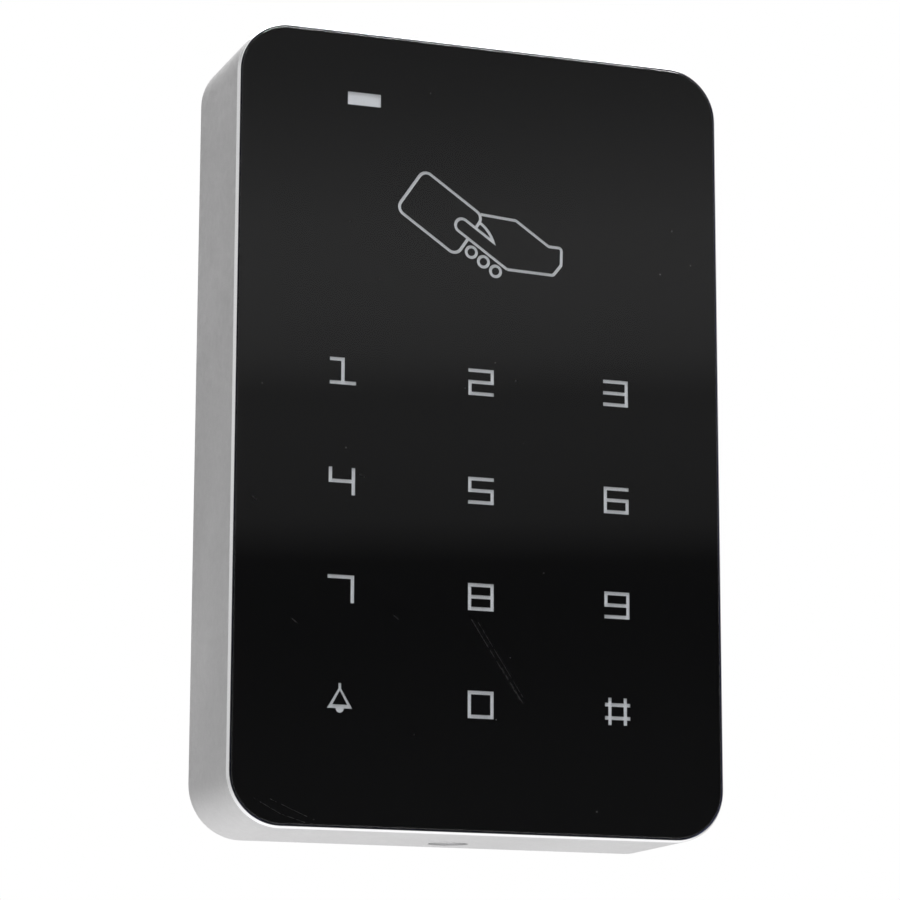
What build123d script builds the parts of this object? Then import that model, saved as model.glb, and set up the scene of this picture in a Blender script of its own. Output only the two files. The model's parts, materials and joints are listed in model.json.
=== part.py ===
"""RFID card reader with a touch keypad, hung on its wall bracket.

The wall is the plane Y=0 and the reader faces -Y, with +Z up and +X to the right seen from the front.
A depth is a distance out from the wall, so the front of the glass is the deepest plane.
Sizes are in millimetres.
"""

from build123d import *
import os
from math import atan, degrees

# Outline of the reader, seen from the front
body_width = 77.2
body_height = 120.0
corner_radius = 8.0
side_draft = 0.05  # how far each side wall stands out more at the back than at the front

# Layers from the wall to the glass
wall_gap = 0.3  # the housing's back edge stays off the wall
bracket_thickness = 1.5
bolt_head_room = 2.5  # between bracket and rear cover, for the heads of the wall screws
cover_thickness = 2.0
seal_thickness = 0.5
component_room = 6.4  # between rear cover and board
board_thickness = 1.6
standoff_height = 3.25  # between board and ledge
ledge_thickness = 2.0
adhesive_thickness = 0.5
ink_thickness = 0.15
glass_thickness = 1.1
diffuser_thickness = 0.4

bracket_front = bracket_thickness
cover_back = bracket_front + bolt_head_room
cover_front = cover_back + cover_thickness
step_depth = cover_front + seal_thickness
board_back = cover_front + component_room
board_front = board_back + board_thickness
ledge_back = board_front + standoff_height
ledge_front = ledge_back + ledge_thickness
ink_back = ledge_front + adhesive_thickness
glass_back = ink_back + ink_thickness
glass_front = glass_back + glass_thickness
diffuser_back = ink_back - diffuser_thickness

# Housing
housing_wall = 2.0  # at the back, round the rear cover
step_width = 1.2  # inward step that the rear cover seals on
ledge_width = 4.0  # inside the step's wall, under the glass
rim_drop = 0.1  # the rim ends this far behind the glass front
rim_bevel_width = 0.4
rim_bevel_depth = 0.55
rim_land = 0.05  # flat left between the bevel and the glass
glass_gap = 0.05
back_edge_chamfer = 0.3
glass_bevel = 0.2
adhesive_width = 2.6
fit_gap = 0.3  # between pieces that are assembled loosely
thread_clearance = 0.05  # round a screw in the hole that it is driven into

rim_front = glass_front - rim_drop
bevel_start = rim_front - rim_bevel_depth
glass_inset = rim_bevel_width + rim_land + glass_gap
glass_width = body_width - 2 * glass_inset
glass_height = body_height - 2 * glass_inset
glass_radius = corner_radius - glass_inset
back_room_width = body_width - 2 * housing_wall
back_room_height = body_height - 2 * housing_wall
back_room_radius = corner_radius - housing_wall
room_width = back_room_width - 2 * step_width
room_height = back_room_height - 2 * step_width
room_radius = back_room_radius - step_width
window_width = room_width - 2 * ledge_width + 2 * step_width
window_height = room_height - 2 * ledge_width + 2 * step_width
floor_height = -back_room_height / 2  # inside of the bottom wall, behind the step

# Screw posts for the rear cover, in the corners of the housing
post_radius = 3.5
post_inset = 4.2  # from the housing's inner walls to the post's axis
cover_screw_radius = 1.2
cover_screw_length = 9.0
cover_screw_head_radius = 2.4
cover_screw_head_height = 1.2
screw_through_clearance = 0.2
countersink_clearance = 0.1
post_x = room_width / 2 - post_inset
post_z = room_height / 2 - post_inset

# Board and the pads that it is screwed to
board_gap = 0.4
board_corner_notch = 9.0
board_radius = 1.0
pad_width = 4.4
pad_height = 7.0
pad_z = 34.0  # above and below the middle
pad_screw_offset = 0.3  # from the pad's middle, away from the wall
board_screw_radius = 1.0
board_screw_clearance = 0.15
board_screw_length = 5.5
board_screw_head_radius = 1.9
board_screw_head_height = 1.4
board_width = room_width - 2 * board_gap
board_height = room_height - 2 * board_gap
pad_x = room_width / 2 - pad_width / 2
board_screw_x = pad_x - pad_screw_offset

# Keys and the printed legends, as seen from the front
key_pitch_x = 21.68
key_pitch_z = 15.96
key_first_pitch_z = 16.5  # between the top two rows
key_first_z = 7.55  # middle of the top row
legend_size = 4.1
legend_stroke = 0.57
sharp_upright_spacing = 2.47
sharp_bar_spacing = 1.97
bell_height = 3.25  # of the bell's triangle, without its loop and clapper
bell_half_width = 1.95
bell_loop_width = 0.46
bell_loop_height = 0.45
bell_clapper_radius = 0.64
bell_wall_ratio = 0.56  # width of the triangle's opening
bell_opening_ratio = 0.61  # height of the triangle's opening
bell_rise = 0.1  # of the whole bell on its key
light_window_x = -18.72
light_window_z = 49.6
light_window_width = 5.25
light_window_height = 2.05
card_x = -6.6  # middle of the symbol's card
card_z = 33.2
card_tilt = -34.1
card_width = 11.5
card_height = 7.82
card_corner = 1.3
symbol_stroke = 0.5
thumb_radius = 1.05
thumb_rise = 0.58
thumb_start = 3.85
thumb_end = 13.3
finger_radius = 0.82
finger_drop = 1.9
finger_first = 7.33
finger_pitch = 2.34
thumb_back_length = 4.1
knuckle_bend = (7.68, 2.45)
knuckle_rise = 2.75
# From the thumb round the cuff to the card's top edge
hand_outline = [(19.6, 3.5), (19.75, 5.6), (18.3, 7.9), (16.54, 6.77), (10.13, 6.75)]
hand_inset = 0.6  # of its end from the card's side
hand_corner = 0.5

key_columns = [-key_pitch_x, 0, key_pitch_x]
key_second_z = key_first_z - key_first_pitch_z
key_rows = [key_first_z] + [key_second_z - row * key_pitch_z for row in range(3)]
key_places = [(x, z) for z in key_rows for x in key_columns]

# Light box, springs and lights behind the glass
light_box_margin_x = 9.0  # beyond the outer keys
light_box_margin_z = 7.6
light_box_wall = 1.4
light_box_gap = 0.1
light_box_radius = 2.0
spring_radius = 2.9
spring_wire = 0.4
key_light_drop = 5.0  # key light below the middle of its key
key_light_width = 3.0
key_light_height = 1.6
key_light_thickness = 1.2
status_light_width = 3.5
status_light_height = 2.8
status_light_thickness = 1.9
light_pipe_width = 6.4
light_pipe_height = 3.4
coil_width = 50.0
coil_height = 27.0
coil_radius = 6.0
coil_band = 2.6
coil_thickness = 2.4
coil_z = 32.0

# Wall bracket and the hooks that the reader hangs on
bracket_side_gap = 3.6
bracket_top_gap = 6.0
bracket_radius = 5.0
lift_travel = 6.5
hook_width = 6.0
hook_rise = 5.0
hook_gap = 0.4
hook_bend = 0.8
hook_x = 15.0
hook_upper_z = 36.0
hook_lower_z = -22.0
wall_hole_radius = 2.25
wall_hole_spacing_x = 52.0
wall_hole_spacing_z = 84.0
box_hole_radius = 2.1
box_hole_spacing = 60.0
cable_hole_radius = 10.0
cable_z = 13.0
cable_window_width = 28.0
cable_window_height = 16.0
cable_window_radius = 2.0

bracket_width = back_room_width - 2 * bracket_side_gap
bracket_top = back_room_height / 2 - bracket_top_gap
hook_front = cover_front + hook_gap + bracket_thickness
slot_drop = bracket_thickness + lift_travel + hook_gap
hook_places = [(x, z) for z in (hook_upper_z, hook_lower_z) for x in (-hook_x, hook_x)]

# Security screw, from below through the housing's bottom wall into the bracket's tab
screw_depth = 6.0
screw_boss_wall = 1.1
screw_boss_height = 2.5
screw_seat_thickness = 2.1
screw_recess_clearance = 0.3
screw_hole_clearance = 0.22
screw_radius = 1.48
screw_length = 14.0
screw_head_radius = 2.7
screw_head_height = 1.7
screw_head_edge = 0.4
screw_socket_size = 2.0
screw_socket_depth = 1.1
screw_pin_radius = 0.4
washer_inset = 0.1  # inside the head's edge
washer_clearance = 0.12
washer_thickness = 0.5
tab_width = 16.0
tab_clearance = 0.5
nut_spigot_wall = 0.57
nut_shoulder = 0.7
nut_height = 2.2
pocket_wall = 1.2
pocket_side_gap = 1.2
pocket_end_gap = 0.4
pocket_top_gap = 0.6

screw_recess_radius = screw_head_radius + screw_recess_clearance
screw_boss_radius = screw_recess_radius + screw_boss_wall
washer_radius = screw_head_radius - washer_inset
nut_bore_radius = screw_radius + thread_clearance
nut_spigot_radius = nut_bore_radius + nut_spigot_wall
nut_radius = nut_spigot_radius + nut_shoulder
boss_top = floor_height + screw_boss_height
screw_seat = boss_top - screw_seat_thickness
screw_head_top = screw_seat - washer_thickness
screw_tip = screw_head_top + screw_length
tab_bottom = boss_top + lift_travel + tab_clearance
tab_top = tab_bottom + bracket_thickness
pocket_front = board_back - pocket_end_gap
pocket_room_front = pocket_front - pocket_wall
pocket_room_half = tab_width / 2 + pocket_side_gap
pocket_room_top = max(screw_tip, tab_top + nut_height) + pocket_top_gap
tab_end = pocket_room_front - tab_clearance

# Rear cover
cover_gap = 0.2
seal_inset = 0.1
seal_opening = 4.8  # height cut from the seal at the pocket
cover_width = back_room_width - 2 * cover_gap
cover_height = back_room_height - 2 * cover_gap
cover_radius = back_room_radius - cover_gap
sensor_window_radius = 3.0
sensor_x = 20.0
sensor_z = -45.0

# Parts on the back of the board: width along X, height along Z, thickness, and place
controller_size = (10.0, 10.0, 1.4)
controller_place = (-12.0, -8.0)
reader_chip_size = (7.0, 7.0, 1.0)
reader_chip_place = (9.0, 33.0)
touch_chip_size = (5.0, 10.0, 1.6)
touch_chip_place = (9.0, -10.0)
regulator_size = (6.5, 6.1, 2.3)
regulator_place = (28.0, 20.0)
chip_lead_width = 0.4
chip_lead_length = 1.0
chip_lead_thickness = 0.2
chip_lead_pitch = 1.0
crystal_size = (11.0, 4.6, 3.5)
crystal_end_flat = 0.05  # each side of the middle of its rounded ends
crystal_place = (-12.0, -19.0)
capacitor_radius = 3.15
capacitor_length = 5.8
capacitor_places = [(26.0, 8.0), (26.0, -1.0)]
buzzer_radius = 6.0
buzzer_height = 5.5
buzzer_sound_hole_radius = 1.0
buzzer_place = (-20.0, -43.5)
sensor_radius = 2.5
sensor_thickness = 2.0
sensor_leg_radius = 0.25
sensor_leg_length = 3.0
sensor_leg_spacing = 3.4
header_width = 22.0
header_height = 6.0
header_depth = 5.6
header_wall = 0.9
header_floor = 1.6
pin_count = 8
pin_pitch = 2.5
pin_size = 0.64
pin_length = 4.6


def facing(depth):
    """A plane parallel to the wall, at a depth, that looks out at the person in front."""
    return Plane.XZ.offset(depth)


def slab(width, height, radius, back, front, mode=Mode.ADD, at=(0, 0)):
    """A plate with rounded corners between two depths, round a place on the front view."""
    with BuildSketch(facing(back)) as outline:
        with Locations(at):
            RectangleRounded(width, height, radius)
    extrude(outline.sketch, amount=front - back, mode=mode)


def block(width, height, back, front, places, mode=Mode.ADD):
    """Square-cornered blocks between two depths, one at each place."""
    with BuildSketch(facing(back)) as outline:
        with Locations(*places):
            Rectangle(width, height)
    extrude(outline.sketch, amount=front - back, mode=mode)


def disc(radius, back, front, places, mode=Mode.ADD):
    """Round bars that stand out from the wall between two depths, one at each place."""
    with BuildSketch(facing(back)) as outline:
        with Locations(*places):
            Circle(radius)
    extrude(outline.sketch, amount=front - back, mode=mode)


def upright(radius, bottom, top, mode=Mode.ADD):
    """A vertical round bar on the security screw's axis."""
    with BuildSketch(Plane((0, -screw_depth, bottom))) as outline:
        Circle(radius)
    extrude(outline.sketch, amount=top - bottom, mode=mode)


def both_ways(x, z):
    """The four places that mirror each other about the middle."""
    return [(sx * x, sz * z) for sx in (-1, 1) for sz in (-1, 1)]


cover_screw_places = both_ways(post_x, post_z)
board_screw_places = both_ways(board_screw_x, pad_z)

# Housing: a cast shell with a bevelled rim, a ledge under the glass and an open back
with BuildPart() as housing:
    with BuildSketch(facing(wall_gap)):
        RectangleRounded(
            body_width + 2 * side_draft, body_height + 2 * side_draft, corner_radius + side_draft
        )
    side_length = bevel_start - wall_gap
    extrude(amount=side_length, taper=degrees(atan(side_draft / side_length)))
    with BuildSketch(facing(bevel_start)):
        RectangleRounded(body_width, body_height, corner_radius)
    extrude(amount=rim_bevel_depth, taper=degrees(atan(rim_bevel_width / rim_bevel_depth)))
    back_edges = housing.faces().sort_by(Axis.Y)[-1].outer_wire().edges()
    chamfer(back_edges, length=back_edge_chamfer)
    slab(
        glass_width + 2 * glass_gap,
        glass_height + 2 * glass_gap,
        glass_radius + glass_gap,
        ledge_front,
        glass_front,
        Mode.SUBTRACT,
    )
    slab(
        window_width,
        window_height,
        room_radius,
        ledge_back,
        ledge_front,
        Mode.SUBTRACT,
    )
    slab(room_width, room_height, room_radius, step_depth, ledge_back, Mode.SUBTRACT)
    slab(back_room_width, back_room_height, back_room_radius, 0, step_depth, Mode.SUBTRACT)
    disc(post_radius, cover_front, ledge_back, cover_screw_places)
    block(pad_width, pad_height, board_front, ledge_front, both_ways(pad_x, pad_z))
    upright(screw_boss_radius, floor_height, boss_top)
    disc(
        cover_screw_radius + thread_clearance,
        cover_front,
        cover_front + cover_screw_length,
        cover_screw_places,
        Mode.SUBTRACT,
    )
    disc(
        board_screw_radius + thread_clearance,
        board_front,
        board_front + board_screw_length - board_thickness + fit_gap,
        board_screw_places,
        Mode.SUBTRACT,
    )
    upright(screw_recess_radius, -body_height, screw_seat, Mode.SUBTRACT)
    upright(screw_radius + screw_hole_clearance, screw_seat, boss_top, Mode.SUBTRACT)
housing.part.label = "housing"

# Front glass, with a fine bevel all round its front edge
with BuildPart() as front_glass:
    slab(glass_width, glass_height, glass_radius, glass_back, glass_front)
    front_edges = front_glass.faces().sort_by(Axis.Y)[0].outer_wire().edges()
    chamfer(front_edges, length=glass_bevel)
front_glass.part.label = "front_glass"

# Printed legends, drawn on a grid of half a legend: left, middle and right by bottom, middle and top
reach = (legend_size - legend_stroke) / 2
strokes = {
    "top": ((-1, 1), (1, 1)),
    "middle": ((-1, 0), (1, 0)),
    "bottom": ((-1, -1), (1, -1)),
    "upper_left": ((-1, 0), (-1, 1)),
    "lower_left": ((-1, -1), (-1, 0)),
    "upper_right": ((1, 0), (1, 1)),
    "lower_right": ((1, -1), (1, 0)),
    "centre": ((0, -1), (0, 1)),
    "top_left_half": ((-1, 1), (0, 1)),
}
digits = {
    0: ["centre", "top_left_half", "bottom"],
    1: ["top", "upper_right", "middle", "lower_left", "bottom"],
    2: ["top", "middle", "bottom", "upper_right", "lower_right"],
    3: ["upper_left", "middle", "upper_right", "lower_right"],
    4: ["top", "upper_left", "middle", "lower_right", "bottom"],
    5: ["top", "upper_left", "lower_left", "middle", "lower_right", "bottom"],
    6: ["top", "upper_right", "lower_right"],
    7: ["top", "middle", "bottom", "upper_left", "lower_left", "upper_right", "lower_right"],
    8: ["top", "middle", "bottom", "upper_left", "upper_right", "lower_right"],
    10: ["top", "bottom", "upper_left", "lower_left", "upper_right", "lower_right"],
}
bell_key = 9
sharp_key = 11


def bar(start, end, stroke):
    """One square-ended printed stroke, in the sketch that is open."""
    half = stroke / 2
    middle = ((start[0] + end[0]) / 2, (start[1] + end[1]) / 2)
    width = abs(end[0] - start[0]) + 2 * half
    height = abs(end[1] - start[1]) + 2 * half
    with Locations(middle):
        Rectangle(width, height)


def digit(key):
    """The strokes of one key's digit."""
    key_x, key_z = key_places[key]
    for name in digits[key]:
        (x0, z0), (x1, z1) = strokes[name]
        bar(
            (key_x + x0 * reach, key_z + z0 * reach),
            (key_x + x1 * reach, key_z + z1 * reach),
            legend_stroke,
        )


def sharp_sign():
    """Two uprights crossed by two bars."""
    key_x, key_z = key_places[sharp_key]
    for side in (-0.5, 0.5):
        x = key_x + side * sharp_upright_spacing
        z = key_z + side * sharp_bar_spacing
        bar((x, key_z - reach), (x, key_z + reach), legend_stroke)
        bar((key_x - reach, z), (key_x + reach, z), legend_stroke)


def triangle(half_width, height, base_z, mode=Mode.ADD):
    """An upright triangle over a level base, on the bell's key."""
    key_x = key_places[bell_key][0]
    with BuildLine() as outline:
        Polyline(
            (key_x - half_width, base_z),
            (key_x + half_width, base_z),
            (key_x, base_z + height),
            close=True,
        )
    make_face(outline.edges(), mode=mode)


def bell_sign():
    """A bell: an open triangle with a loop on top and a clapper below."""
    key_x, key_z = key_places[bell_key]
    base_z = key_z - bell_height / 2 + bell_rise
    triangle(bell_half_width, bell_height, base_z)
    with Locations((key_x, base_z)):
        Circle(bell_clapper_radius)
    bar(
        (key_x, base_z + bell_height - bell_loop_height),
        (key_x, base_z + bell_height + bell_loop_height / 2),
        bell_loop_width,
    )
    triangle(
        bell_half_width * bell_wall_ratio,
        bell_height * bell_opening_ratio,
        base_z + legend_stroke,
        Mode.SUBTRACT,
    )


def card_sign():
    """A hand that holds up a card, drawn along the card's own tilted axes and placed on the glass."""
    thumb_top = thumb_rise + thumb_radius
    thumb_low = thumb_rise - thumb_radius
    right = card_width / 2
    with BuildSketch(mode=Mode.PRIVATE) as drawing:
        RectangleRounded(
            card_width + symbol_stroke,
            card_height + symbol_stroke,
            card_corner + symbol_stroke / 2,
        )
        RectangleRounded(
            card_width - symbol_stroke,
            card_height - symbol_stroke,
            card_corner - symbol_stroke / 2,
            mode=Mode.SUBTRACT,
        )
        with Locations(((thumb_start + thumb_end) / 2, thumb_rise)):
            SlotCenterToCenter(
                thumb_end - thumb_start, 2 * thumb_radius - symbol_stroke, mode=Mode.SUBTRACT
            )
        with BuildLine():
            thumb_side = Line((thumb_end, thumb_low), (thumb_start, thumb_low))
            thumb_tip = RadiusArc(thumb_side @ 1, (thumb_start, thumb_top), thumb_radius)
            thumb_back = Line(thumb_tip @ 1, (thumb_end - thumb_back_length, thumb_top))
            ThreePointArc(thumb_back @ 1, knuckle_bend, (right, knuckle_rise))
        trace(line_width=symbol_stroke)
        with BuildLine():
            FilletPolyline(
                (thumb_end, thumb_low),
                *hand_outline,
                (right - hand_inset, card_height / 2),
                radius=hand_corner,
            )
        trace(line_width=symbol_stroke)
        with Locations(*[(finger_first + n * finger_pitch, -finger_drop) for n in range(3)]):
            Circle(finger_radius + symbol_stroke / 2)
            Circle(finger_radius - symbol_stroke / 2, mode=Mode.SUBTRACT)
    add(drawing.sketch.moved(Location((card_x, card_z, 0), (0, 0, card_tilt))))


# Black ink behind the glass, left open at every legend and at the indicator window
with BuildPart() as print_mask:
    slab(glass_width, glass_height, glass_radius, ink_back, glass_back)
    with BuildSketch(facing(ink_back)):
        for key in digits:
            digit(key)
        sharp_sign()
        bell_sign()
        card_sign()
        with Locations((light_window_x, light_window_z)):
            Rectangle(light_window_width, light_window_height)
    extrude(amount=ink_thickness, mode=Mode.SUBTRACT)
print_mask.part.label = "print_mask"

# Adhesive frame between the ink and the ledge, and the white sheet inside it
with BuildPart() as glass_adhesive:
    slab(glass_width, glass_height, glass_radius, ledge_front, ink_back)
    inner_radius = glass_radius - adhesive_width
    slab(
        glass_width - 2 * adhesive_width,
        glass_height - 2 * adhesive_width,
        inner_radius,
        ledge_front,
        ink_back,
        Mode.SUBTRACT,
    )
glass_adhesive.part.label = "glass_adhesive"

sheet_width = glass_width - 2 * (adhesive_width + fit_gap)
sheet_height = glass_height - 2 * (adhesive_width + fit_gap)
with BuildPart() as legend_diffuser:
    slab(sheet_width, sheet_height, inner_radius, diffuser_back, ink_back)
legend_diffuser.part.label = "legend_diffuser"

# Light box: a grid with one open cell behind each key
box_width = 2 * key_pitch_x + 2 * light_box_margin_x
box_height = key_rows[0] - key_rows[-1] + 2 * light_box_margin_z
box_z = (key_rows[0] + key_rows[-1]) / 2
with BuildPart() as light_box:
    slab(
        box_width,
        box_height,
        light_box_radius,
        board_front,
        diffuser_back - light_box_gap,
        at=(0, box_z),
    )
    cell_x = box_width / 2 - light_box_wall
    cell_edges_x = [-cell_x, -key_pitch_x / 2, key_pitch_x / 2, cell_x]
    cell_edges_z = [box_z + box_height / 2 - light_box_wall]
    cell_edges_z += [(above + below) / 2 for above, below in zip(key_rows, key_rows[1:])]
    cell_edges_z += [box_z - box_height / 2 + light_box_wall]
    for row in range(4):
        for column in range(3):
            left = cell_edges_x[column] + (light_box_wall / 2 if column else 0)
            right = cell_edges_x[column + 1] - (light_box_wall / 2 if column < 2 else 0)
            top = cell_edges_z[row] - (light_box_wall / 2 if row else 0)
            bottom = cell_edges_z[row + 1] + (light_box_wall / 2 if row < 3 else 0)
            slab(
                right - left,
                top - bottom,
                light_box_radius / 2,
                board_front,
                diffuser_back,
                Mode.SUBTRACT,
                at=((left + right) / 2, (top + bottom) / 2),
            )
light_box.part.label = "light_box"

# Touch springs, one behind each key, from the board to the white sheet
with BuildPart() as touch_springs:
    disc(spring_radius, board_front, diffuser_back - light_box_gap, key_places)
    disc(
        spring_radius - spring_wire,
        board_front,
        diffuser_back - light_box_gap,
        key_places,
        Mode.SUBTRACT,
    )
touch_springs.part.label = "touch_springs"

# Lights on the front of the board
with BuildPart() as key_leds:
    block(
        key_light_width,
        key_light_height,
        board_front,
        board_front + key_light_thickness,
        [(x, z - key_light_drop) for x, z in key_places],
    )
key_leds.part.label = "key_leds"

light_window_place = [(light_window_x, light_window_z)]
status_light_front = board_front + status_light_thickness
with BuildPart() as status_led:
    block(
        status_light_width,
        status_light_height,
        board_front,
        status_light_front,
        light_window_place,
    )
status_led.part.label = "status_led"

with BuildPart() as indicator_light_pipe:
    block(
        light_pipe_width,
        light_pipe_height,
        status_light_front,
        diffuser_back,
        light_window_place,
    )
indicator_light_pipe.part.label = "indicator_light_pipe"

# Antenna: a flat wound coil behind the card symbol
with BuildPart() as antenna_coil:
    slab(
        coil_width,
        coil_height,
        coil_radius,
        board_front,
        board_front + coil_thickness,
        at=(0, coil_z),
    )
    slab(
        coil_width - 2 * coil_band,
        coil_height - 2 * coil_band,
        coil_radius - coil_band,
        board_front,
        board_front + coil_thickness,
        Mode.SUBTRACT,
        at=(0, coil_z),
    )
antenna_coil.part.label = "antenna_coil"

# Board, notched at its corners for the cover's screw posts
with BuildPart() as main_board:
    slab(board_width, board_height, board_radius, board_back, board_front)
    notch_places = both_ways(board_width / 2, board_height / 2)
    notch = 2 * board_corner_notch
    block(notch, notch, board_back, board_front, notch_places, Mode.SUBTRACT)
    board_hole_radius = board_screw_radius + board_screw_clearance
    disc(board_hole_radius, board_back, board_front, board_screw_places, Mode.SUBTRACT)
main_board.part.label = "main_board"


def chip(label, size, place, leads_per_side):
    """A flat package with straight leads on its two upright sides, on the back of the board."""
    width, height, thickness = size
    x, z = place
    with BuildPart() as package:
        block(width, height, board_back - thickness, board_back, [place])
        lead_x = width / 2 + chip_lead_length / 2
        first = -(leads_per_side - 1) / 2 * chip_lead_pitch
        lead_places = [
            (x + side * lead_x, z + first + n * chip_lead_pitch)
            for side in (-1, 1)
            for n in range(leads_per_side)
        ]
        block(
            chip_lead_length,
            chip_lead_width,
            board_back - chip_lead_thickness,
            board_back,
            lead_places,
        )
    package.part.label = label
    return package


controller_chip = chip("controller_chip", controller_size, controller_place, 9)
reader_chip = chip("reader_chip", reader_chip_size, reader_chip_place, 6)
touch_chip = chip("touch_chip", touch_chip_size, touch_chip_place, 9)
regulator = chip("regulator", regulator_size, regulator_place, 3)

with BuildPart() as crystal:
    slab(
        crystal_size[0],
        crystal_size[1],
        crystal_size[1] / 2 - crystal_end_flat,
        board_back - crystal_size[2],
        board_back,
        at=crystal_place,
    )
crystal.part.label = "crystal"

with BuildPart() as capacitors:
    disc(capacitor_radius, board_back - capacitor_length, board_back, capacitor_places)
capacitors.part.label = "capacitors"

with BuildPart() as buzzer:
    buzzer_back = board_back - buzzer_height
    disc(buzzer_radius, buzzer_back, board_back, [buzzer_place])
    disc(
        buzzer_sound_hole_radius,
        buzzer_back,
        buzzer_back + buzzer_height / 2,
        [buzzer_place],
        Mode.SUBTRACT,
    )
buzzer.part.label = "buzzer"

with BuildPart() as tamper_sensor:
    leg_back = board_back - sensor_leg_length
    disc(sensor_radius, leg_back - sensor_thickness, leg_back, [(sensor_x, sensor_z)])
    legs = [(sensor_x + side * sensor_leg_spacing / 2, sensor_z) for side in (-1, 1)]
    disc(sensor_leg_radius, leg_back, board_back, legs)
tamper_sensor.part.label = "tamper_sensor"

# Wiring socket, open to the back through the rear cover's window
header_place = (0, cable_z)
with BuildPart() as wiring_header:
    header_back = board_back - header_depth
    block(header_width, header_height, header_back, board_back, [header_place])
    block(
        header_width - 2 * header_wall,
        header_height - 2 * header_wall,
        header_back,
        board_back - header_floor,
        [header_place],
        Mode.SUBTRACT,
    )
wiring_header.part.label = "wiring_header"

with BuildPart() as header_pins:
    pin_places = [((n - (pin_count - 1) / 2) * pin_pitch, cable_z) for n in range(pin_count)]
    pin_front = board_back - header_floor
    block(pin_size, pin_size, pin_front - (pin_length - header_floor), pin_front, pin_places)
header_pins.part.label = "header_pins"

# Screws that hold the board to the housing's pads
with BuildPart() as board_screws:
    disc(
        board_screw_head_radius,
        board_back - board_screw_head_height,
        board_back,
        board_screw_places,
    )
    disc(board_screw_radius, board_back, board_back + board_screw_length, board_screw_places)
board_screws.part.label = "board_screws"

# Rear cover: a plate with a pocket for the bracket's tab, slots for its hooks and windows
with BuildPart() as rear_cover:
    slab(cover_width, cover_height, cover_radius, cover_back, cover_front)
    pocket_bottom = -room_height / 2 + cover_gap
    pocket_outer_top = pocket_room_top + pocket_wall
    with BuildSketch(facing(cover_front)):
        with Locations((0, (pocket_bottom + pocket_outer_top) / 2)):
            Rectangle(2 * (pocket_room_half + pocket_wall), pocket_outer_top - pocket_bottom)
    extrude(amount=pocket_front - cover_front)
    room_bottom = -body_height / 2
    with BuildSketch(facing(cover_back)):
        with Locations((0, (room_bottom + pocket_room_top) / 2)):
            Rectangle(2 * pocket_room_half, pocket_room_top - room_bottom)
    extrude(amount=pocket_room_front - cover_back, mode=Mode.SUBTRACT)
    slot_places = [(x, z - slot_drop / 2) for x, z in hook_places]
    block(
        hook_width + 2 * hook_gap,
        slot_drop,
        cover_back,
        cover_front,
        slot_places,
        Mode.SUBTRACT,
    )
    slab(
        cable_window_width,
        cable_window_height,
        cable_window_radius,
        cover_back,
        cover_front,
        Mode.SUBTRACT,
        at=header_place,
    )
    disc(
        sensor_window_radius,
        cover_back,
        cover_front,
        [(sensor_x, sensor_z)],
        Mode.SUBTRACT,
    )
    for x, z in cover_screw_places:
        with Locations(Plane((x, -cover_back, z), z_dir=(0, 1, 0))):
            CounterSinkHole(
                cover_screw_radius + screw_through_clearance,
                cover_screw_head_radius + countersink_clearance,
                cover_thickness,
            )
rear_cover.part.label = "rear_cover"

with BuildPart() as rear_cover_screws:
    for x, z in cover_screw_places:
        with BuildSketch(facing(cover_back).shift_origin((x, -cover_back, z))):
            Circle(cover_screw_head_radius)
        head_taper = (cover_screw_head_radius - cover_screw_radius) / cover_screw_head_height
        extrude(amount=cover_screw_head_height, taper=degrees(atan(head_taper)))
    disc(cover_screw_radius, cover_back, cover_back + cover_screw_length, cover_screw_places)
rear_cover_screws.part.label = "rear_cover_screws"

# Seal between the rear cover and the housing's step, open at the bottom where the pocket is
with BuildPart() as cover_seal:
    seal_width = back_room_width - 2 * seal_inset
    seal_height = back_room_height - 2 * seal_inset
    seal_band = 2 * (step_width - 2 * seal_inset)
    slab(seal_width, seal_height, cover_radius, cover_front, step_depth)
    slab(
        seal_width - seal_band,
        seal_height - seal_band,
        cover_radius - seal_band / 2,
        cover_front,
        step_depth,
        Mode.SUBTRACT,
    )
    block(
        2 * (pocket_room_half + pocket_wall + fit_gap),
        seal_opening,
        cover_front,
        step_depth,
        [(0, -seal_height / 2)],
        Mode.SUBTRACT,
    )
cover_seal.part.label = "cover_seal"

# Wall bracket: a steel plate with four hooks cut and folded from it, and a tab folded at its bottom
with BuildPart() as wall_bracket:
    plate_height = bracket_top - tab_bottom
    plate_z = (bracket_top + tab_bottom) / 2
    slab(bracket_width, plate_height, bracket_radius, 0, bracket_front, at=(0, plate_z))
    disc(cable_hole_radius, 0, bracket_front, [header_place], Mode.SUBTRACT)
    hole_x = wall_hole_spacing_x / 2
    hole_z = wall_hole_spacing_z / 2
    disc(wall_hole_radius, 0, bracket_front, both_ways(hole_x, hole_z), Mode.SUBTRACT)
    box_holes = [(0, -box_hole_spacing / 2), (0, box_hole_spacing / 2)]
    disc(box_hole_radius, 0, bracket_front, box_holes, Mode.SUBTRACT)
    for x, z in hook_places:
        opening = hook_front + hook_rise - bracket_front
        block(
            hook_width + 2 * hook_gap,
            opening,
            0,
            bracket_front,
            [(x, z + opening / 2)],
            Mode.SUBTRACT,
        )
        with BuildSketch(Plane.YZ.offset(x - hook_width / 2)):
            with BuildLine():
                Polyline(
                    (0, z),
                    (0, z - bracket_thickness),
                    (-hook_front, z - bracket_thickness),
                    (-hook_front, z + hook_rise),
                    (-hook_front + bracket_thickness, z + hook_rise),
                    (-hook_front + bracket_thickness, z),
                    close=True,
                )
            outline = make_face()
            fillet(outline.vertices().sort_by(Axis.Y)[0], hook_bend)
        extrude(amount=hook_width)
    with BuildSketch(facing(0)):
        with Locations((0, (tab_bottom + tab_top) / 2)):
            Rectangle(tab_width, bracket_thickness)
    extrude(amount=tab_end)
    upright(nut_spigot_radius, tab_bottom, tab_top, Mode.SUBTRACT)
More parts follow.
